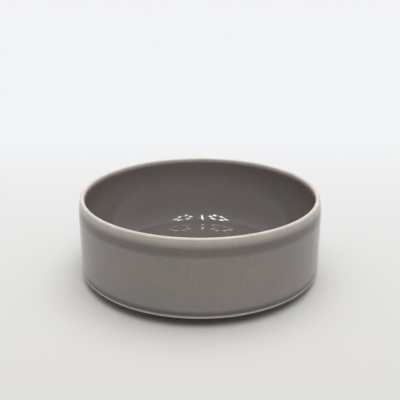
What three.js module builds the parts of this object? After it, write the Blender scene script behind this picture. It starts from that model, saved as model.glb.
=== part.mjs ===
// A straight-sided stoneware bowl on a turned foot ring. It is glazed inside and out, apart from the ring
// that it stands on, which is bare clay. Millimetres, +Z up. The origin is the centre of the standing plane.
import * as THREE from 'three'

// Finished sizes, measured over the glaze
const WALL_RADIUS = 60.9 // outside of the wall, where the lip starts to lean in
const LIP_LEAN = 0.9 // how far the lip's outer edge stands inside the wall
const LEAN_HEIGHT = 8 // the stretch below the rim over which the wall leans in
const LIP_WIDTH = 2.75 // across the top of the lip
const HEEL_SPREAD = 0.1 // how much wider the wall is at its heel than under the lip
const HEEL_HEIGHT = 5 // the heel's edge above the table
const WALL_HEIGHT = 37.8 // from the heel's edge up to the rim
const FLOOR_THICKNESS = 4.3 // from the underside up to the floor inside
const STRAIGHT_DEPTH = 5.5 // how far the inside falls straight below the rim
const FLOOR_CURVE_WIDTH = 22 // how far in from the wall the curve reaches before the floor is flat

// Foot ring, and the well inside it
const FOOT_RADIUS = 38 // outside of the bare ring
const FOOT_WIDTH = 4.5
const FOOT_BEVEL = 0.6 // sponged edges of the standing face
const FOOT_ROOT = 0.9 // fillet between the ring and the glazed underside
const WELL_HEIGHT = 3.6 // the well's glazed ceiling above the table

// Glaze, and the edges of the clay under it
const GLAZE = 0.5 // thickness of the coat
const GLAZE_LINE = 1.2 // where the glaze stops, above the table
const CLAY_LIP_EDGE = 0.4 // radius of both edges of the clay lip
const CLAY_HEEL_EDGE = 0.25 // radius of the clay heel's edge

// Facets
const ROUND_STEPS = 60 // around the axis
const EDGE_STEPS = 3 // around a lip or heel edge, or a fillet
const LEAN_STEPS = 4
const CURVE_STEPS = 10 // from the wall to the floor inside

const rim = HEEL_HEIGHT + WALL_HEIGHT
const floorHeight = HEEL_HEIGHT + FLOOR_THICKNESS
const lipEdge = CLAY_LIP_EDGE + GLAZE
const heelEdge = CLAY_HEEL_EDGE + GLAZE

// Points on an arc or a quarter of an ellipse in the (radius, height) plane, with angles in degrees from
// the outward direction, turning upwards.
function arc(centre, width, height, from, to, steps) {
  const points = []
  for (let i = 0; i <= steps; i++) {
    const angle = THREE.MathUtils.degToRad(from + ((to - from) * i) / steps)
    points.push(new THREE.Vector2(centre.x + width * Math.cos(angle), centre.y + height * Math.sin(angle)))
  }
  return points
}

// The same curve moved sideways, to the left of its own direction, by an even distance.
function offsetCurve(points, distance) {
  const direction = (a, b) => b.clone().sub(a).normalize()
  const toLeft = (v) => new THREE.Vector2(-v.y, v.x)
  return points.map((point, i) => {
    const before = direction(points[Math.max(i, 1) - 1], points[Math.max(i, 1)])
    const after = i < points.length - 1 ? direction(point, points[i + 1]) : before
    const sideways = toLeft(before.clone().add(after).normalize())
    return point.clone().addScaledVector(sideways, distance / sideways.dot(toLeft(after)))
  })
}

// Outside of the wall, from the heel up to the lip: it stands almost upright, then leans in ever faster.
function outerWall() {
  const leanAngle = Math.atan((2 * LIP_LEAN) / LEAN_HEIGHT)
  const leanTop = rim - lipEdge * (1 - Math.sin(leanAngle))
  const leanStart = leanTop - LEAN_HEIGHT
  const points = []
  for (let i = 0; i < LEAN_STEPS; i++) {
    const share = i / LEAN_STEPS
    const radius = WALL_RADIUS - LIP_LEAN * share ** 2
    points.push(new THREE.Vector2(radius, leanStart + LEAN_HEIGHT * share))
  }
  const lipRadius = WALL_RADIUS - LIP_LEAN
  const edgeCentre = new THREE.Vector2(lipRadius - lipEdge * Math.cos(leanAngle), rim - lipEdge)
  const leanDegrees = THREE.MathUtils.radToDeg(leanAngle)
  return [...points, ...arc(edgeCentre, lipEdge, lipEdge, leanDegrees, 90, EDGE_STEPS)]
}

// Inside, from the lip down to the middle of the floor: upright, then one long curve to a flat floor.
function innerWall() {
  const innerRadius = WALL_RADIUS - LIP_LEAN - LIP_WIDTH
  const curveHeight = rim - STRAIGHT_DEPTH - floorHeight
  const edgeCentre = new THREE.Vector2(innerRadius + lipEdge, rim - lipEdge)
  const curveCentre = new THREE.Vector2(innerRadius - FLOOR_CURVE_WIDTH, floorHeight + curveHeight)
  return [
    ...arc(edgeCentre, lipEdge, lipEdge, 90, 180, EDGE_STEPS),
    ...arc(curveCentre, FLOOR_CURVE_WIDTH, curveHeight, 0, -90, CURVE_STEPS),
    new THREE.Vector2(0, floorHeight),
  ]
}

// Underside, from the foot ring out to the heel's edge.
function underside() {
  const footFace = FOOT_RADIUS + GLAZE
  const heelRadius = WALL_RADIUS + HEEL_SPREAD
  const rootCentre = new THREE.Vector2(footFace + FOOT_ROOT, HEEL_HEIGHT - FOOT_ROOT)
  const heelCentre = new THREE.Vector2(heelRadius - heelEdge, HEEL_HEIGHT + heelEdge)
  return [
    new THREE.Vector2(footFace, GLAZE_LINE + GLAZE),
    ...arc(rootCentre, FOOT_ROOT, FOOT_ROOT, 180, 90, EDGE_STEPS),
    ...arc(heelCentre, heelEdge, heelEdge, -90, 0, EDGE_STEPS),
  ]
}

// Glazed face of the well, from its middle out to the ring and down it.
function wellFace() {
  const ringFace = FOOT_RADIUS - FOOT_WIDTH - GLAZE
  const rootCentre = new THREE.Vector2(ringFace - FOOT_ROOT, WELL_HEIGHT - FOOT_ROOT)
  return [
    new THREE.Vector2(0, WELL_HEIGHT),
    ...arc(rootCentre, FOOT_ROOT, FOOT_ROOT, 90, 0, EDGE_STEPS),
    new THREE.Vector2(ringFace, GLAZE_LINE + GLAZE),
  ]
}

// The clay's surface lies one coat below each glazed face, and runs on to the glaze line.
const coatFace = [...underside(), ...outerWall(), ...innerWall()]
const clayUnderCoat = [
  new THREE.Vector2(FOOT_RADIUS, GLAZE_LINE),
  ...offsetCurve(coatFace, GLAZE),
]
const clayOverWell = [
  ...offsetCurve(wellFace(), GLAZE),
  new THREE.Vector2(FOOT_RADIUS - FOOT_WIDTH, GLAZE_LINE),
]

// The bare foot ring, from its inner glaze line round the standing face to its outer one.
function bareFoot() {
  const inner = FOOT_RADIUS - FOOT_WIDTH
  return [
    new THREE.Vector2(inner, FOOT_BEVEL),
    new THREE.Vector2(inner + FOOT_BEVEL, 0),
    new THREE.Vector2(FOOT_RADIUS - FOOT_BEVEL, 0),
    new THREE.Vector2(FOOT_RADIUS, FOOT_BEVEL),
  ]
}

// A named solid, turned round the upright axis from a profile that starts and ends on that axis.
function turned(name, profile, color, roughness) {
  const geometry = new THREE.LatheGeometry(profile, ROUND_STEPS)
  geometry.rotateX(Math.PI / 2)
  const mesh = new THREE.Mesh(geometry, new THREE.MeshStandardMaterial({ color, roughness }))
  mesh.name = name
  return mesh
}

// The fired stoneware body, with its bare foot ring.
function clayBody() {
  return turned('clay_body', [...clayOverWell, ...bareFoot(), ...clayUnderCoat], 0xb3a089, 0.85)
}

// One unbroken coat: underside, wall, lip and inside. It thins to nothing at the glaze line on the foot.
function glazeCoat() {
  return turned('glaze_coat', [...clayUnderCoat.toReversed(), ...coatFace], 0x7c7570, 0.22)
}

// The separate patch of glaze inside the foot ring.
function footWellGlaze() {
  return turned('foot_well_glaze', [...wellFace(), ...clayOverWell.toReversed()], 0x7c7570, 0.25)
}

const bowl = new THREE.Group()
bowl.add(clayBody(), glazeCoat(), footWellGlaze())

export default bowl
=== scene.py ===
# %% [markdown]
# # A grey glazed stoneware bowl
# The real bowl is thrown or jiggered stoneware: a low, almost upright wall, a soft flat lip, a crisp heel
# and a turned foot ring. It was dipped in a glossy warm grey glaze and wiped clean where it stands. The
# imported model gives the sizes. This script turns finer surfaces from the same outline, and gives each its
# finish.

# %% Load the frame
import math

import bmesh
import bpy
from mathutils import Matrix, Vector


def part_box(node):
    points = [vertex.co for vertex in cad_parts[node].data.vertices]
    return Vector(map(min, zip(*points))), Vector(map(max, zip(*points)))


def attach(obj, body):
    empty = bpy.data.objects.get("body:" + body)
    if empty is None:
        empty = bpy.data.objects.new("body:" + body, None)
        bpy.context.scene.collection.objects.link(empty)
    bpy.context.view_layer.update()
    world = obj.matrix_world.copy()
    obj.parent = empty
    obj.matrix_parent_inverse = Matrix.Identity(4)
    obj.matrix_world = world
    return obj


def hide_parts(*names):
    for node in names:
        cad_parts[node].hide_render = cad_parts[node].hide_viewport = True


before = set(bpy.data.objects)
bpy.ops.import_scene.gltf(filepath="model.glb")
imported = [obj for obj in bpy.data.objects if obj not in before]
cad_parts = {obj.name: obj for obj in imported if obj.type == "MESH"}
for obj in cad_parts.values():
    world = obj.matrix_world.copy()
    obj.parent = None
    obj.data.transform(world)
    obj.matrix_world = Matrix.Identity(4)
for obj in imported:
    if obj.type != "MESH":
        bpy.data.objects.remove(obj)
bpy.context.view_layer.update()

MM = 0.001

# %% [markdown]
# ## Sizes
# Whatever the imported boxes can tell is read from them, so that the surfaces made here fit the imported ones.
# The sizes inside the outline, such as the lip's width, can't be read from a box and are given here. All
# of them are in millimetres, as a potter would measure them over the glaze.

# %% Sizes from the frame
coat_low, coat_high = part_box("glaze_coat")
clay_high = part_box("clay_body")[1]
well_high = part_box("foot_well_glaze")[1]

RIM = coat_high.z / MM
HEEL_RADIUS = coat_high.x / MM
GLAZE = (coat_high.x - clay_high.x) / MM
GLAZE_LINE = coat_low.z / MM  # where the glaze stops above the table
WELL_HEIGHT = well_high.z / MM - GLAZE
FOOT_INNER = well_high.x / MM
print(f"rim {RIM:.1f}, heel radius {HEEL_RADIUS:.1f}, glaze {GLAZE:.2f}, glaze line {GLAZE_LINE:.1f}")

# %% Sizes inside the outline
HEEL_SPREAD = 0.1  # how much wider the wall is at its heel than under the lip
HEEL_HEIGHT = 5
LIP_LEAN = 0.9  # how far the lip's outer edge stands inside the wall
LEAN_HEIGHT = 8
LIP_WIDTH = 2.75
LIP_EASE_WIDTH = 1.35  # the lip rolls over gently into the bowl
LIP_EASE_HEIGHT = 2.8
FLOOR_THICKNESS = 4.3
STRAIGHT_DEPTH = 5.5  # how far the inside falls straight below the rim
FLOOR_CURVE_WIDTH = 22
FOOT_WIDTH = 4.5
FOOT_BEVEL = 0.6
FOOT_ROOT = 0.9  # fillet between the ring and the glazed underside
CLAY_LIP_EDGE = 0.4
CLAY_HEEL_EDGE = 0.25

wall_radius = HEEL_RADIUS - HEEL_SPREAD
foot_radius = FOOT_INNER + FOOT_WIDTH
floor_height = HEEL_HEIGHT + FLOOR_THICKNESS
lip_outer = wall_radius - LIP_LEAN
lip_inner = lip_outer - LIP_WIDTH
lip_edge = CLAY_LIP_EDGE + GLAZE
heel_edge = CLAY_HEEL_EDGE + GLAZE
print(f"lip from {lip_inner:.2f} to {lip_outer:.2f}, floor at {floor_height:.1f}, foot {foot_radius:.1f}")

# %% [markdown]
# ## The outline
# A potter's bowl is one outline turned round an axis, so the outline is worth most of the care. It is drawn
# as (radius, height) points. Arcs make the lip, the heel and the foot's root, and even steps fill the
# stretches between them. Drawing it with a bevelled or subdivided box would be quicker, but then the soft
# lip and the crisp heel would get the same rounding.

# %% Arcs
EDGE_STEPS = 10  # round a small edge
CURVE_STEPS = 40  # from the wall down to the floor inside
LEAN_STEPS = 16


def arc(centre, width, height, start, end, steps):
    """Points on an ellipse, with angles in degrees from outward, turning upwards."""
    angles = [math.radians(start + (end - start) * i / steps) for i in range(steps + 1)]
    return [Vector((centre[0] + width * math.cos(a), centre[1] + height * math.sin(a))) for a in angles]


quarter = arc((0, 0), 1, 1, 0, 90, 2)
print("a quarter circle in two steps:", [[round(c, 2) for c in point] for point in quarter])

# %% [markdown]
# ### The outside of the wall
# The wall stands almost upright, then leans in ever faster under the lip, as it does where a potter's
# sponge has eased it. That lean turns the surface up a little, and it catches the pale light there. The
# band is also painted paler, as a painted highlight.

# %% Outside, from the heel up to the lip
def outer_wall():
    lean_angle = math.atan(2 * LIP_LEAN / LEAN_HEIGHT)
    lean_top = RIM - lip_edge * (1 - math.sin(lean_angle))
    shares = [i / LEAN_STEPS for i in range(LEAN_STEPS)]
    lean = [Vector((wall_radius - LIP_LEAN * s * s, lean_top - LEAN_HEIGHT * (1 - s))) for s in shares]
    edge_centre = (lip_outer - lip_edge * math.cos(lean_angle), RIM - lip_edge)
    return lean + arc(edge_centre, lip_edge, lip_edge, math.degrees(lean_angle), 90, EDGE_STEPS)


print("outside points:", len(outer_wall()))

# %% [markdown]
# ### The inside
# The lip rolls over into the bowl, falls straight for a few millimetres and goes into one long curve that
# ends in a flat floor. A quarter of an ellipse does for the curve, because it meets both without a kink.

# %% Inside, from the lip to the middle of the floor
def inner_wall():
    curve_height = RIM - STRAIGHT_DEPTH - floor_height
    curve_centre = (lip_inner - FLOOR_CURVE_WIDTH, floor_height + curve_height)
    ease_centre = (lip_inner + LIP_EASE_WIDTH, RIM - LIP_EASE_HEIGHT)
    ease = arc(ease_centre, LIP_EASE_WIDTH, LIP_EASE_HEIGHT, 90, 180, 2 * EDGE_STEPS)
    curve = arc(curve_centre, FLOOR_CURVE_WIDTH, curve_height, 0, -90, CURVE_STEPS)
    return ease + curve + [Vector((0, floor_height))]


print("inside points:", len(inner_wall()))

# %% [markdown]
# ### Underneath
# The foot ring is turned from the leather-hard clay. Its root has a small fillet, since a sharp inner
# corner would crack in the kiln, and the heel outside it is left crisp. The well is the shallow hollow
# inside the ring.

# %% Underside and well
def underside():
    foot_face = foot_radius + GLAZE
    root_centre = (foot_face + FOOT_ROOT, HEEL_HEIGHT - FOOT_ROOT)
    root = arc(root_centre, FOOT_ROOT, FOOT_ROOT, 180, 90, EDGE_STEPS)
    heel_centre = (HEEL_RADIUS - heel_edge, HEEL_HEIGHT + heel_edge)
    heel = arc(heel_centre, heel_edge, heel_edge, -90, 0, EDGE_STEPS)
    return [Vector((foot_face, GLAZE_LINE + GLAZE))] + root + heel


def well_face():
    ring_face = FOOT_INNER - GLAZE
    root_centre = (ring_face - FOOT_ROOT, WELL_HEIGHT - FOOT_ROOT)
    root = arc(root_centre, FOOT_ROOT, FOOT_ROOT, 90, 0, EDGE_STEPS)
    return [Vector((0, WELL_HEIGHT))] + root + [Vector((ring_face, GLAZE_LINE + GLAZE))]


print("underside points:", len(underside()), "and in the well:", len(well_face()))

# %% [markdown]
# ### The coat over the clay
# The glaze is a coat of even thickness, so the clay's surface is the glazed one moved inwards by that
# thickness. A parallel curve does this for the whole outline at once. Points are added to the long
# stretches first, closest on the wall, where thin glaze, painted highlights and painted shade change the
# colour over short distances.

# %% Even steps and a parallel curve
WALL_STEP = 0.9  # the most between two points on the wall
FLAT_STEP = 3  # and on the long stretches inside and underneath
WALL_DEPTH = 2  # how far inside the heel's radius a point still counts as on the wall


def stepped(points):
    """The same outline with points added, so that no two neighbours lie further apart than a step."""
    result = [points[0]]
    for a, b in zip(points, points[1:]):
        step = WALL_STEP if min(a.x, b.x) > HEEL_RADIUS - WALL_DEPTH else FLAT_STEP
        count = max(1, math.ceil((b - a).length / step))
        result += [a.lerp(b, (i + 1) / count) for i in range(count)]
    return result


def to_left(way):
    return Vector((-way.y, way.x))


def parallel(points, distance):
    """The same curve moved to the left of its own direction."""
    result = []
    for i, point in enumerate(points):
        before = (points[max(i, 1)] - points[max(i, 1) - 1]).normalized()
        after = (points[i + 1] - point).normalized() if i < len(points) - 1 else before
        sideways = to_left((before + after).normalized())
        result.append(point + sideways * (distance / sideways.dot(to_left(after))))
    return result


line = stepped([Vector((0, 0)), Vector((10, 0))])
print("a 10 mm line along the floor in steps:", [point.x for point in line])

# %% The three outlines
coat_face = stepped(underside() + outer_wall() + inner_wall())
clay_under_coat = [Vector((foot_radius, GLAZE_LINE))] + parallel(coat_face, GLAZE)
well_glaze_face = stepped(well_face())
clay_over_well = parallel(well_glaze_face, GLAZE) + [Vector((FOOT_INNER, GLAZE_LINE))]
bare_foot = [
    Vector((FOOT_INNER, FOOT_BEVEL)),
    Vector((FOOT_INNER + FOOT_BEVEL, 0)),
    Vector((foot_radius - FOOT_BEVEL, 0)),
    Vector((foot_radius, FOOT_BEVEL)),
]
OUTLINES = {
    "bowl_clay_body": clay_over_well + bare_foot + clay_under_coat,
    "bowl_glaze_coat": clay_under_coat[::-1] + coat_face,
    "bowl_foot_well_glaze": well_glaze_face + clay_over_well[::-1],
}
print("outline points:", {name: len(points) for name, points in OUTLINES.items()})

# %% [markdown]
# ## Where the glaze runs thin, and where highlights and shade are painted
# Molten glaze draws back from sharp edges and fires pale where it is thin: on the lip's outer edge, just
# inside the lip and on the heel's edge. The lip's top is pale from thin glaze and a painted highlight
# together, and a band just under the lip outside is painted pale as a painted highlight. Painted shade
# darkens a band below that, a band just above the heel, and the inside, more so towards the floor. Both
# are kept as numbers from 0 to 1 on the outline's points, because they belong to the form. A texture laid
# over it would have to be lined up with each edge again.

# %% Fades along the outline
def fade(value, start, end):
    """1 at start, easing to 0 at end."""
    share = min(1, max(0, (value - start) / (end - start)))
    return 1 - share * share * (3 - 2 * share)


def hump(value, low, full_low, full_high, high):
    """0 at low and high, easing to 1 between the two middle values."""
    return fade(value, full_high, high) * (1 - fade(value, low, full_low))


print("a hump from 1 to 4:", [round(hump(v / 2, 1, 2, 3, 4), 2) for v in range(2, 9)])

# %% Thin glaze and painted highlights, with how pale each place gets and where its fade starts and ends
HEEL_PALE, HEEL_FADE = 0.9, (0.4, 1.2)
LIP_EDGE_PALE, LIP_EDGE_FADE = 0.95, (0.2, 1.3)
# the lip's top: pale thin glaze, made paler still as a painted highlight
LIP_TOP_PALE_AND_HIGHLIGHT, LIP_TOP_FADE = 0.9, (0.1, 1.4)
# painted highlight: a pale band painted under the lip outside, where the wall turns up to the light
OUTSIDE_PAINTED_HIGHLIGHT, OUTSIDE_HIGHLIGHT_FADE = 0.66, (0, 5.5)
OUTSIDE_FALL = 1.3  # above 1, the band under the lip loses its paleness sooner
INSIDE_PALE, INSIDE_FADE = 0.6, (0.3, 3)
EDGE_ZONE = 0.6  # how far in from the lip's outer edge still counts as outside
INSIDE_MARGIN = 0.2  # any further in than this from the lip, the glaze isn't thin
HEEL_MARGIN = 0.01  # the heel's own edge still counts as on the wall

heel_corner = Vector((HEEL_RADIUS, HEEL_HEIGHT))
lip_corner = Vector((lip_outer, RIM))


# pale from thin glaze on the heel's edge, the lip's outer edge and just inside the lip, and from painted
# highlights on the lip's top and under the lip outside
def highlight_and_thin_glaze(point):
    below_rim = RIM - point.y
    if point.x < lip_inner - INSIDE_MARGIN or point.y < HEEL_HEIGHT - HEEL_MARGIN:
        return 0.0
    if point.x > lip_outer - EDGE_ZONE:
        side = OUTSIDE_PAINTED_HIGHLIGHT * fade(below_rim, *OUTSIDE_HIGHLIGHT_FADE) ** OUTSIDE_FALL
    else:
        side = INSIDE_PALE * fade(below_rim, *INSIDE_FADE)
    heel = HEEL_PALE * fade((point - heel_corner).length, *HEEL_FADE)
    edge = LIP_EDGE_PALE * fade((point - lip_corner).length, *LIP_EDGE_FADE)
    top = LIP_TOP_PALE_AND_HIGHLIGHT * fade(below_rim, *LIP_TOP_FADE)
    return min(1, max(heel, edge, top, side))


print("thin glaze goes up to", round(max(highlight_and_thin_glaze(p) for p in coat_face), 2))

# %% Painted shade, with how dark each place gets and where it lies
# painted shade: a dark band painted below the pale band under the lip, where the dim room is mirrored
UNDER_LIP_PAINTED_SHADE, UNDER_LIP_BAND = 0.5, (3, 5.2, 7.2, 9.6)  # below the rim
# painted shade: a dark band painted just above the heel, where the dark gap under it is mirrored
OVER_HEEL_PAINTED_SHADE, OVER_HEEL_BAND = 0.8, (0.6, 1.6, 2.2, 4.5)  # above the heel
INSIDE_PAINTED_SHADE, INSIDE_SHADE_DEPTHS = 0.65, (8, 32)  # painted shade inside, growing from the wall down to the floor


# painted shade: darker bands under the lip and over the heel outside, and a darker inside towards the floor
def painted_shade_on_glaze(point):
    below_rim = RIM - point.y
    if point.y < HEEL_HEIGHT - HEEL_MARGIN:
        return 0.0
    if point.x < lip_outer - EDGE_ZONE:
        return INSIDE_PAINTED_SHADE * (1 - fade(below_rim, *INSIDE_SHADE_DEPTHS))
    under_lip = UNDER_LIP_PAINTED_SHADE * hump(below_rim, *UNDER_LIP_BAND)
    over_heel = OVER_HEEL_PAINTED_SHADE * hump(point.y - HEEL_HEIGHT, *OVER_HEEL_BAND)
    return max(under_lip, over_heel)


print("gathered glaze goes up to", round(max(painted_shade_on_glaze(p) for p in coat_face), 2))

# %% [markdown]
# ## Turning the outline
# On the wheel the outline is swept round the axis, and Geometry Nodes can do the same. The outline becomes
# a curve, and Curve to Mesh carries it round a small guide circle. Points are moved in by the guide's
# radius, so the ones that lie on the axis meet there and are merged. The numbers for the thin glaze, the
# painted highlights and the painted shade are carried along. One tree with named sizes serves all three
# pieces, and one step count keeps their rings in line.

# %% A helper for nodes
def add_node(tree, kind, settings=None, inputs=None):
    """One node, with its settings by name, and its inputs as values or as other nodes' sockets."""
    node = tree.nodes.new(kind)
    for name, value in (settings or {}).items():
        setattr(node, name, value)
    for name, value in (inputs or {}).items():
        if isinstance(value, bpy.types.NodeSocket):
            tree.links.new(value, node.inputs[name])
        else:
            node.inputs[name].default_value = value
    return node


# %% The turning tree
GUIDE_RADIUS = 10 * MM
ROUND_STEPS = 240
SAME_PLACE = 0.001 * MM  # points closer than this are one


def turning_tree():
    tree = bpy.data.node_groups.new("turn_outline", "GeometryNodeTree")
    for name, kind, way in (
        ("Outline", "NodeSocketGeometry", "INPUT"),
        ("Round Steps", "NodeSocketInt", "INPUT"),
        ("Guide Radius", "NodeSocketFloat", "INPUT"),
        ("Finish", "NodeSocketMaterial", "INPUT"),
        ("Turned Piece", "NodeSocketGeometry", "OUTPUT"),
    ):
        tree.interface.new_socket(name, in_out=way, socket_type=kind)
    given = add_node(tree, "NodeGroupInput").outputs
    curve = add_node(tree, "GeometryNodeMeshToCurve", inputs={"Mesh": given["Outline"]})
    guide = add_node(tree, "GeometryNodeCurvePrimitiveCircle", inputs={
        "Resolution": given["Round Steps"], "Radius": given["Guide Radius"]})
    swept = add_node(tree, "GeometryNodeCurveToMesh", inputs={
        "Curve": guide.outputs["Curve"], "Profile Curve": curve.outputs["Curve"]})
    merged = add_node(tree, "GeometryNodeMergeByDistance", inputs={
        "Geometry": swept.outputs["Mesh"], "Distance": SAME_PLACE})
    smooth = add_node(tree, "GeometryNodeSetShadeSmooth", inputs={
        "Geometry": merged.outputs["Geometry"]})
    real = add_node(tree, "GeometryNodeRealizeInstances", inputs={
        "Geometry": smooth.outputs["Geometry"]})
    finished = add_node(tree, "GeometryNodeSetMaterial", inputs={
        "Geometry": real.outputs["Geometry"], "Material": given["Finish"]})
    add_node(tree, "NodeGroupOutput", inputs={"Turned Piece": finished.outputs["Geometry"]})
    return tree


turn_outline = turning_tree()
print("turning tree nodes:", len(turn_outline.nodes))

# %% The outline as a chain of edges
def outline_mesh(name, points):
    """Moved in by the guide's radius, and upside down, because Curve to Mesh turns a profile over."""
    mesh = bpy.data.meshes.new(name)
    shifted = [(p.x * MM - GUIDE_RADIUS, -p.y * MM, 0) for p in points]
    mesh.from_pydata(shifted, [(i, i + 1) for i in range(len(points) - 1)], [])
    for label, measure in (("highlight_and_thin_glaze", highlight_and_thin_glaze), ("painted_shade_on_glaze", painted_shade_on_glaze)):
        numbers = mesh.attributes.new(label, "FLOAT", "POINT")
        numbers.data.foreach_set("value", [measure(p) for p in points])
    return mesh


def set_inputs(modifier, values):
    """A modifier's inputs go by their sockets' identifiers, looked up from their names."""
    for item in modifier.node_group.interface.items_tree:
        if item.name in values:
            modifier[item.identifier] = values[item.name]


# %% [markdown]
# ### Closing the surface
# A turned shell can come out inside out, and its poles can hold doubled points. So doubles are merged, the
# faces are turned outwards, and the open edges are counted. A real solid has none, and its volume is
# positive. Edges sharper than the given angle stay crisp, such as the foot's bevels and the glaze line.

# %% Close one surface
SHARP_ANGLE = math.radians(35)


def close_up(mesh):
    """Merges doubles and turns the faces outwards. Gives the number of open edges and the volume."""
    shell = bmesh.new()
    shell.from_mesh(mesh)
    bmesh.ops.remove_doubles(shell, verts=shell.verts, dist=SAME_PLACE)
    bmesh.ops.recalc_face_normals(shell, faces=shell.faces)
    if shell.calc_volume(signed=True) < 0:
        bmesh.ops.reverse_faces(shell, faces=shell.faces)
    open_edges = sum(not edge.is_manifold for edge in shell.edges)
    volume = shell.calc_volume(signed=True)
    shell.to_mesh(mesh)
    shell.free()
    mesh.set_sharp_from_angle(angle=SHARP_ANGLE)
    return open_edges, volume


# %% Turn one piece
CUBIC_CM = 0.01 ** 3


def turned_piece(name, finish):
    piece = bpy.data.objects.new(name, outline_mesh(name + "_outline", OUTLINES[name]))
    bpy.context.scene.collection.objects.link(piece)
    modifier = piece.modifiers.new("turn", "NODES")
    modifier.node_group = turn_outline
    set_inputs(modifier, {"Round Steps": ROUND_STEPS, "Guide Radius": GUIDE_RADIUS, "Finish": finish})
    evaluated = piece.evaluated_get(bpy.context.evaluated_depsgraph_get())
    made = bpy.data.meshes.new_from_object(evaluated)
    piece.modifiers.remove(modifier)
    piece.data = made
    made.name = name
    open_edges, volume = close_up(made)
    carried = [a.name for a in made.attributes if a.name.endswith("_glaze")]
    print(f"{name}: {len(made.polygons)} faces, {open_edges} open edges, {volume / CUBIC_CM:.2f} cm3")
    print("  carried numbers:", carried)
    return piece


# %% [markdown]
# ## Finishes
# Colours are written as sRGB values and turned to linear by one function. Every pattern reads Object
# coordinates, which are metres here, so a pattern's scale is one over the size of its blotches. Nothing
# slides when the camera moves, and no image is needed.

# %% Colours
def linear(hex_colour):
    """An sRGB hex colour as linear RGBA."""
    channels = [int(hex_colour[i:i + 2], 16) / 255 for i in (1, 3, 5)]
    return tuple(c / 12.92 if c <= 0.04045 else ((c + 0.055) / 1.055) ** 2.4 for c in channels) + (1.0,)


print("mid grey is linear", round(linear("#808080")[0], 3))

# %% Blotches and dots
FINER_SHARE = 0.55  # how strong each finer layer of noise is beside the one before it


def blotches(tree, place, size, contrast, reach=(0.0, 1.0), detail=2.0):
    """Soft blotches about so many millimetres wide. Noise between the contrast values fills the reach."""
    noise = add_node(tree, "ShaderNodeTexNoise", inputs={
        "Vector": place, "Scale": 1 / (size * MM), "Detail": detail, "Roughness": FINER_SHARE})
    spread = add_node(tree, "ShaderNodeMapRange", inputs={
        "Value": noise.outputs["Fac"], "From Min": contrast[0], "From Max": contrast[1],
        "To Min": reach[0], "To Max": reach[1]})
    return spread.outputs["Result"]


def dots(tree, place, spacing, size, strength=1.0):
    """Dots scattered so many millimetres apart, full out to the first size and gone at the second."""
    cells = add_node(tree, "ShaderNodeTexVoronoi", inputs={"Vector": place, "Scale": 1 / (spacing * MM)})
    spread = add_node(tree, "ShaderNodeMapRange", inputs={
        "Value": cells.outputs["Distance"], "From Min": size[0], "From Max": size[1],
        "To Min": strength, "To Max": 0.0})
    return spread.outputs["Result"]


print("a pattern of 1 mm has the scale", round(1 / MM))

# %% Colours in layers, and the surface
# A Mix node's colour sockets have the same names as its number sockets, so they go by their places
MIX_SHARE, MIX_FIRST, MIX_SECOND, MIX_RESULT = 0, 6, 7, 2


def layered(tree, base, layers):
    """A base colour with others laid over it in turn, each by its own share from 0 to 1."""
    colour = linear(base)
    for share, tint in layers:
        blend = add_node(tree, "ShaderNodeMix", {"data_type": "RGBA"}, {
            MIX_SHARE: share, MIX_FIRST: colour, MIX_SECOND: linear(tint)})
        colour = blend.outputs[MIX_RESULT]
    return colour


def new_material(name):
    material = bpy.data.materials.new(name)
    material.use_nodes = True
    material.node_tree.nodes.clear()
    return material, material.node_tree


def surface(tree, colour, roughness, index, relief, height, strength):
    """The finish itself. A relief of 1 is so many millimetres high, and shows as far as its strength."""
    bump = add_node(tree, "ShaderNodeBump", inputs={
        "Strength": strength, "Distance": height * MM, "Height": relief})
    shader = add_node(tree, "ShaderNodeBsdfPrincipled", inputs={
        "Base Color": colour, "Roughness": roughness, "IOR": index, "Normal": bump.outputs["Normal"]})
    add_node(tree, "ShaderNodeOutputMaterial", inputs={"Surface": shader.outputs["BSDF"]})


# %% [markdown]
# ### Dipped gloss glaze
# This is a stoneware glaze coloured through with grey stain and fired to a full gloss. The eye gets crisp
# small reflections from it, and paler sides where it is seen at a slant, so the roughness is low and the
# index is that of a dense glaze, a little above window glass. It isn't quite even. Its tone drifts over a
# few centimetres, it is cloudy at about a millimetre, the surface ripples very slightly, and here and
# there a pinhole has healed over as a darker dot.

# %% Glaze colours
GLAZE_GREY = "#88817D"
GLAZE_GREY_WARM = "#8E8581"
# pale thin glaze at the edges, and the colour of the painted highlights and of the glaze's cloudiness
GLAZE_THIN_AND_HIGHLIGHT = "#E9E0D6"
# the colour of the painted shade
GLAZE_PAINTED_SHADE = "#4F4A47"
PINHOLE_DARK = "#4A4542"
print("thin glaze is", round(linear(GLAZE_THIN_AND_HIGHLIGHT)[1] / linear(GLAZE_GREY)[1], 1), "times as bright")

# %% Glaze patterns, with sizes in millimetres
DRIFT_SIZE, DRIFT_CONTRAST = 30, (0.35, 0.65)
CLOUD_SIZE, CLOUD_CONTRAST = 1.2, (0.3, 0.7)
CLOUD_SHARE = 0.08
UNEVEN_SIZE, UNEVEN_CONTRAST = 6, (0.3, 0.7)  # along the pale edges
UNEVEN_REACH = (0.85, 1.1)
PINHOLE_SPACING, PINHOLE_SIZE = 11, (0.018, 0.032)  # the size is a share of the spacing
PINHOLE_SHARE = 0.6
PINHOLE_DEPTH = 0.5  # as a share of the ripple
RIPPLE_SIZE, RIPPLE_HEIGHT, RIPPLE_STRENGTH = 7, 0.15, 0.06
GLAZE_ROUGHNESS = 0.05
GLAZE_INDEX = 1.6
print(f"pinholes {2 * PINHOLE_SIZE[1] * PINHOLE_SPACING:.1f} mm across, about {PINHOLE_SPACING} mm apart")

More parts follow.
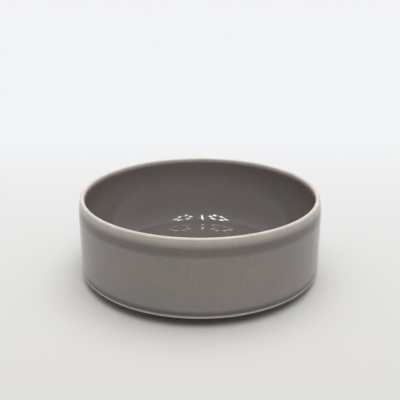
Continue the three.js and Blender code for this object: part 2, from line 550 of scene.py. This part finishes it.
# %% Dipped gloss glaze
def glaze_colour(tree, place, pinhole):
    thin_and_highlight = add_node(tree, "ShaderNodeAttribute", {"attribute_name": "highlight_and_thin_glaze"}).outputs["Fac"]
    painted_shade = add_node(tree, "ShaderNodeAttribute", {"attribute_name": "painted_shade_on_glaze"}).outputs["Fac"]
    drift = blotches(tree, place, DRIFT_SIZE, DRIFT_CONTRAST)
    cloud = blotches(tree, place, CLOUD_SIZE, CLOUD_CONTRAST, reach=(0.0, CLOUD_SHARE), detail=3.0)
    uneven = blotches(tree, place, UNEVEN_SIZE, UNEVEN_CONTRAST, reach=UNEVEN_REACH)
    # pale thin glaze and painted highlights, made a little uneven
    edges = add_node(tree, "ShaderNodeMath", {"operation": "MULTIPLY"}, {0: thin_and_highlight, 1: uneven})
    healed = add_node(tree, "ShaderNodeMath", {"operation": "MULTIPLY"}, {0: pinhole, 1: PINHOLE_SHARE})
    # over the glaze's own drifting, cloudy tone come the painted shade, then the thin glaze and painted
    # highlights, then the pinholes
    return layered(tree, GLAZE_GREY, (
        (drift, GLAZE_GREY_WARM),
        (cloud, GLAZE_THIN_AND_HIGHLIGHT),
        (painted_shade, GLAZE_PAINTED_SHADE),
        (edges.outputs[0], GLAZE_THIN_AND_HIGHLIGHT),
        (healed.outputs[0], PINHOLE_DARK),
    ))


def dipped_gloss_glaze():
    material, tree = new_material("dipped_gloss_stoneware_glaze")
    place = add_node(tree, "ShaderNodeTexCoord").outputs["Object"]
    pinhole = dots(tree, place, PINHOLE_SPACING, PINHOLE_SIZE)
    ripple = add_node(tree, "ShaderNodeTexNoise", inputs={
        "Vector": place, "Scale": 1 / (RIPPLE_SIZE * MM), "Detail": 1.0, "Roughness": FINER_SHARE})
    sunk = add_node(tree, "ShaderNodeMath", {"operation": "MULTIPLY"}, {0: pinhole, 1: PINHOLE_DEPTH})
    relief = add_node(tree, "ShaderNodeMath", {"operation": "SUBTRACT"}, {
        0: ripple.outputs["Fac"], 1: sunk.outputs[0]}).outputs[0]
    colour = glaze_colour(tree, place, pinhole)
    surface(tree, colour, GLAZE_ROUGHNESS, GLAZE_INDEX, relief, RIPPLE_HEIGHT, RIPPLE_STRENGTH)
    return material


glaze = dipped_gloss_glaze()
print(glaze.name, "nodes:", len(glaze.node_tree.nodes))

# %% [markdown]
# ### Bare fired clay
# The ring was wiped with a sponge before the firing. The eye gets a matt, slightly sandy, warm band, with
# dark specks where iron in the clay has come through, about a millimetre and a half apart. The grit is
# drawn at its own size, a third of a millimetre, because the ring is seen only from below and close to.

# %% Sponged bare clay
CLAY_BUFF = "#B8A58B"
CLAY_PALE = "#CDBDA5"
CLAY_IRON = "#6B5138"
PATCH_SIZE, PATCH_CONTRAST = 5, (0.35, 0.65)
IRON_SPACING, IRON_SIZE = 1.6, (0.08, 0.16)  # the size is a share of the spacing
IRON_SHARE = 0.75
GRIT_SIZE, GRIT_HEIGHT, GRIT_STRENGTH = 0.35, 0.12, 0.5
CLAY_ROUGHNESS = 0.88
CLAY_INDEX = 1.45


def sponged_bare_clay():
    material, tree = new_material("sponged_bare_stoneware_clay")
    place = add_node(tree, "ShaderNodeTexCoord").outputs["Object"]
    patches = blotches(tree, place, PATCH_SIZE, PATCH_CONTRAST)
    iron = dots(tree, place, IRON_SPACING, IRON_SIZE, IRON_SHARE)
    colour = layered(tree, CLAY_BUFF, ((patches, CLAY_PALE), (iron, CLAY_IRON)))
    grit = add_node(tree, "ShaderNodeTexNoise", inputs={
        "Vector": place, "Scale": 1 / (GRIT_SIZE * MM), "Detail": 3.0, "Roughness": FINER_SHARE})
    relief = grit.outputs["Fac"]
    surface(tree, colour, CLAY_ROUGHNESS, CLAY_INDEX, relief, GRIT_HEIGHT, GRIT_STRENGTH)
    return material


clay = sponged_bare_clay()
print(clay.name, "nodes:", len(clay.node_tree.nodes))

# %% [markdown]
# ## The three pieces
# The body, the coat over it and the patch of glaze inside the foot ring are separate surfaces, as they are
# separate layers on the real bowl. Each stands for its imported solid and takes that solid's finish.

for name, finish, node, slot in (
    ("bowl_clay_body", clay, "clay_body", "fired_clay"),
    ("bowl_glaze_coat", glaze, "glaze_coat", "grey_glaze"),
    ("bowl_foot_well_glaze", glaze, "foot_well_glaze", "foot_glaze"),
):
    piece = turned_piece(name, finish)
    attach(piece, "root")
    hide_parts(node)

# %% [markdown]
# ## Floor
# The bowl stands on a pale seamless sheet. Its colour is painted darker near the camera and lighter into
# the distance, as painted light falloff. It is one flat ring of faces. Its hole is hidden under the bowl,
# and lets light in for a look at the underside. Seen from below, the sheet is clear, so that the foot can
# be looked at. Sizes are in metres from here on.

# %% The sheet's material
# painted light: the sheet's colour goes from darker near the camera to lighter far off, standing for the light
# falling off
SHEET_PAINTED_SHADE_NEAR, SHEET_PAINTED_LIGHT_FAR = "#DAD8D3", "#F1F2F4"
NEAR_AT, FAR_AT = -0.2, 0.25  # along Y


def pale_sheet():
    material, tree = new_material("pale_seamless_sheet")
    place = add_node(tree, "ShaderNodeTexCoord").outputs["Object"]
    along = add_node(tree, "ShaderNodeSeparateXYZ", inputs={"Vector": place}).outputs["Y"]
    far = add_node(tree, "ShaderNodeMapRange", inputs={
        "Value": along, "From Min": NEAR_AT, "From Max": FAR_AT}).outputs["Result"]
    # painted light falloff from near to far
    colour = layered(tree, SHEET_PAINTED_SHADE_NEAR, ((far, SHEET_PAINTED_LIGHT_FAR),))
    sheet = add_node(tree, "ShaderNodeBsdfDiffuse", inputs={"Color": colour})
    clear = add_node(tree, "ShaderNodeBsdfTransparent")
    below = add_node(tree, "ShaderNodeNewGeometry").outputs["Backfacing"]
    shown = add_node(tree, "ShaderNodeMixShader", inputs={
        0: below, 1: sheet.outputs[0], 2: clear.outputs[0]})
    add_node(tree, "ShaderNodeOutputMaterial", inputs={"Surface": shown.outputs[0]})
    return material


seamless_sheet = pale_sheet()
print(seamless_sheet.name, "nodes:", len(seamless_sheet.node_tree.nodes))

# %% The sheet
SHEET_REACH = 6.0
SHEET_HOLE = 0.041
SIDES = 64

turns = [2 * math.pi * i / SIDES for i in range(SIDES)]
ring_points = [(r * math.cos(t), r * math.sin(t), 0) for r in (SHEET_HOLE, SHEET_REACH) for t in turns]
ring_faces = [(i, SIDES + i, SIDES + (i + 1) % SIDES, (i + 1) % SIDES) for i in range(SIDES)]
floor_mesh = bpy.data.meshes.new("floor")
floor_mesh.from_pydata(ring_points, [], ring_faces)
floor_mesh.materials.append(seamless_sheet)
floor = bpy.data.objects.new("floor", floor_mesh)
bpy.context.scene.collection.objects.link(floor)
print("floor faces:", len(floor_mesh.polygons), "facing up:", floor_mesh.polygons[0].normal.z > 0)

# %% [markdown]
# ## The room's light
# Most of the light comes from high up and little from near the horizon, which leaves the gap under the
# heel dark, as under a bowl on a lit table. A glossy glaze also mirrors the room, so reflected rays see a
# plain picture of it: a bright sheet beyond the bowl, a dimmer ceiling, and dim sides and front. The
# camera sees a pale backdrop past the sheet. All strengths are shares of white.

# %% What the room gives, and what it looks like in the glaze
LOW_SKY = 0.05  # what the room gives near the horizon
HIGH_SKY = 1.75  # and how much more it gives straight overhead
SKY_STEEPNESS = 4.0  # how much of that is kept to the top
FROM_BELOW = 0.9  # for a look at the underside; the sheet keeps it off everything else
SEEN_IN_FRONT = 0.2
SEEN_BEYOND = 0.95
CEILING_DIM = 0.5
SIDES_DIM = 0.35
BACKDROP = 0.87

# Where each of these changes comes in, by one part of a direction of length 1
DOWN_SPAN = (-0.05, -0.2)
FRONT_SPAN = (-0.95, 0.1)
CEILING_SPAN = (0.4, 0.9)
SIDES_SPAN = (0.2, 0.8)
print("straight overhead the room gives", LOW_SKY + HIGH_SKY, "times white")

# %% Light given
def light_given(tree, way):
    below = add_node(tree, "ShaderNodeMapRange", inputs={
        "Value": way["Z"], "From Min": DOWN_SPAN[0], "From Max": DOWN_SPAN[1],
        "To Min": 0.0, "To Max": FROM_BELOW}).outputs["Result"]
    light = way["Z"]
    for operation, amount in (
        ("MAXIMUM", 0.0),
        ("POWER", SKY_STEEPNESS),
        ("MULTIPLY", HIGH_SKY),
        ("ADD", LOW_SKY),
        ("ADD", below),
    ):
        light = add_node(tree, "ShaderNodeMath", {"operation": operation}, {0: light, 1: amount}).outputs[0]
    return light


# %% Room mirrored
def room_mirrored(tree, way):
    sideways = add_node(tree, "ShaderNodeMath", {"operation": "ABSOLUTE"}, {0: way["X"]}).outputs[0]
    mirrored = 1.0
    for part, span, start, end in (
        (way["Y"], FRONT_SPAN, SEEN_IN_FRONT, SEEN_BEYOND),
        (way["Z"], CEILING_SPAN, 1.0, CEILING_DIM),
        (sideways, SIDES_SPAN, 1.0, SIDES_DIM),
    ):
        share = add_node(tree, "ShaderNodeMapRange", inputs={
            "Value": part, "From Min": span[0], "From Max": span[1], "To Min": start, "To Max": end})
        mirrored = add_node(tree, "ShaderNodeMath", {"operation": "MULTIPLY"}, {
            0: mirrored, 1: share.outputs["Result"]}).outputs[0]
    return mirrored


# %% Put the room together
NUMBER_FIRST, NUMBER_SECOND, NUMBER_RESULT = 2, 3, 0  # a Mix node's number sockets, by their places


def soft_room():
    world = bpy.data.worlds.new("soft_room")
    world.use_nodes = True
    tree = world.node_tree
    tree.nodes.clear()
    place = add_node(tree, "ShaderNodeTexCoord").outputs["Generated"]
    way = add_node(tree, "ShaderNodeSeparateXYZ", inputs={"Vector": place}).outputs
    path = add_node(tree, "ShaderNodeLightPath").outputs
    bounced = add_node(tree, "ShaderNodeMath", {"operation": "MAXIMUM"}, {
        0: path["Is Glossy Ray"], 1: path["Is Transmission Ray"]}).outputs[0]
    strength = light_given(tree, way)
    for seen_by, instead in ((bounced, room_mirrored(tree, way)), (path["Is Camera Ray"], BACKDROP)):
        chosen = add_node(tree, "ShaderNodeMix", {"data_type": "FLOAT"}, {
            MIX_SHARE: seen_by, NUMBER_FIRST: strength, NUMBER_SECOND: instead})
        strength = chosen.outputs[NUMBER_RESULT]
    air = add_node(tree, "ShaderNodeBackground", inputs={"Color": (1, 1, 1, 1), "Strength": strength})
    add_node(tree, "ShaderNodeOutputWorld", inputs={"Surface": air.outputs[0]})
    return world


bpy.context.scene.world = soft_room()
print("world nodes:", len(bpy.context.scene.world.node_tree.nodes))

# %% [markdown]
# ## Lamps
# One broad lamp, high up, to the right and beyond the bowl, gives the shadow its soft lean towards the
# left front. A weaker one from the front keeps the near wall from going dull. Both are suns, because a
# sun lights a wide sheet evenly, and both are kept out of the reflections.

# %% Broad lamps
def broad_lamp(name, azimuth, elevation, spread, share):
    """Azimuth 0 is behind the camera and 90 is right. The share is how white it alone makes a white sheet."""
    data = bpy.data.lights.new(name, "SUN")
    data.angle = math.radians(spread)
    data.energy = share * math.pi
    lamp = bpy.data.objects.new(name, data)
    lamp.rotation_euler = (math.radians(90 - elevation), 0, math.radians(azimuth))
    lamp.visible_glossy = False
    bpy.context.scene.collection.objects.link(lamp)
    print(f"{name}: energy {data.energy:.2f}")


broad_lamp("overhead_lamp", azimuth=150, elevation=77, spread=45, share=0.24)
broad_lamp("front_fill", azimuth=12, elevation=60, spread=25, share=0.17)

# %% [markdown]
# ### Small ceiling lamps
# The bright marks inside the bowl are small lamps mirrored in the glaze: two clusters and a bar between
# them. The curve between wall and floor squeezes them lengthwise, so each lamp is made longer than wide.
# They are kept out of the diffuse light, so they can be as bright as the marks need.

# %% Small ceiling lamps
CEILING = 1.2  # above the table
CEILING_BEYOND = 0.36  # how far beyond the bowl's axis the lamps hang
MARK_RADIANCE = 16
CLUSTERS = (("left", -0.16, 1.0), ("right", 0.15, 0.7))  # name, place across, share of the radiance
CLUSTER_LAMPS = 6
CLUSTER_ACROSS, CLUSTER_ALONG = 0.065, 0.2
CLUSTER_TURN = 30
SMALL_LAMP = (0.035, 0.13)
BAR_LAMP = (0.018, 0.5)
BAR_PLACE = -0.02


def ceiling_lamp(name, x, y, size, radiance):
    """A flat ellipse that faces down. Its energy is its radiance times pi and its area."""
    data = bpy.data.lights.new(name, "AREA")
    data.shape = "ELLIPSE"
    data.size, data.size_y = size
    data.energy = radiance * math.pi * size[0] * size[1] * math.pi / 4
    lamp = bpy.data.objects.new(name, data)
    lamp.location = (x, y, CEILING)
    lamp.visible_diffuse = False
    bpy.context.scene.collection.objects.link(lamp)


for side, middle, share in CLUSTERS:
    for i in range(CLUSTER_LAMPS):
        angle = math.radians(360 / CLUSTER_LAMPS * i + CLUSTER_TURN)
        across = middle + CLUSTER_ACROSS * math.cos(angle)
        along = CEILING_BEYOND + CLUSTER_ALONG * math.sin(angle)
        ceiling_lamp(f"ceiling_{side}_{i}", across, along, SMALL_LAMP, MARK_RADIANCE * share)
ceiling_lamp("ceiling_bar", BAR_PLACE, CEILING_BEYOND, BAR_LAMP, MARK_RADIANCE)
print("lamps:", len(bpy.data.lights))

# %% [markdown]
# ## Camera
# The camera stands about 31 cm in front of the bowl's axis and looks down on it by about 20 degrees. Its
# place and lens were worked out from the ellipses of the lip and the heel, whose sizes fall off with
# distance. The image is square, so the lens follows from the focal length in pixels.

# %% Camera
IMAGE_PIXELS = 400
FOCAL_PIXELS = 650
SENSOR = 36  # in millimetres, as Blender takes it
CAMERA_DISTANCE = 309.7 * MM
CAMERA_ABOVE_RIM = 109.8 * MM
CAMERA_DOWN = math.radians(20.28)
CLOSEST = 0.01

camera_data = bpy.data.cameras.new("camera")
camera_data.sensor_width = SENSOR
camera_data.lens = FOCAL_PIXELS / IMAGE_PIXELS * SENSOR
camera_data.clip_start = CLOSEST
camera = bpy.data.objects.new("camera", camera_data)
camera.location = (0, -CAMERA_DISTANCE, RIM * MM + CAMERA_ABOVE_RIM)
camera.rotation_euler = (math.pi / 2 - CAMERA_DOWN, 0, 0)
bpy.context.scene.collection.objects.link(camera)
bpy.context.scene.camera = camera
bpy.context.scene.view_settings.view_transform = "Standard"
print(f"lens {camera_data.lens:.1f} mm at {[round(c, 4) for c in camera.location]}")
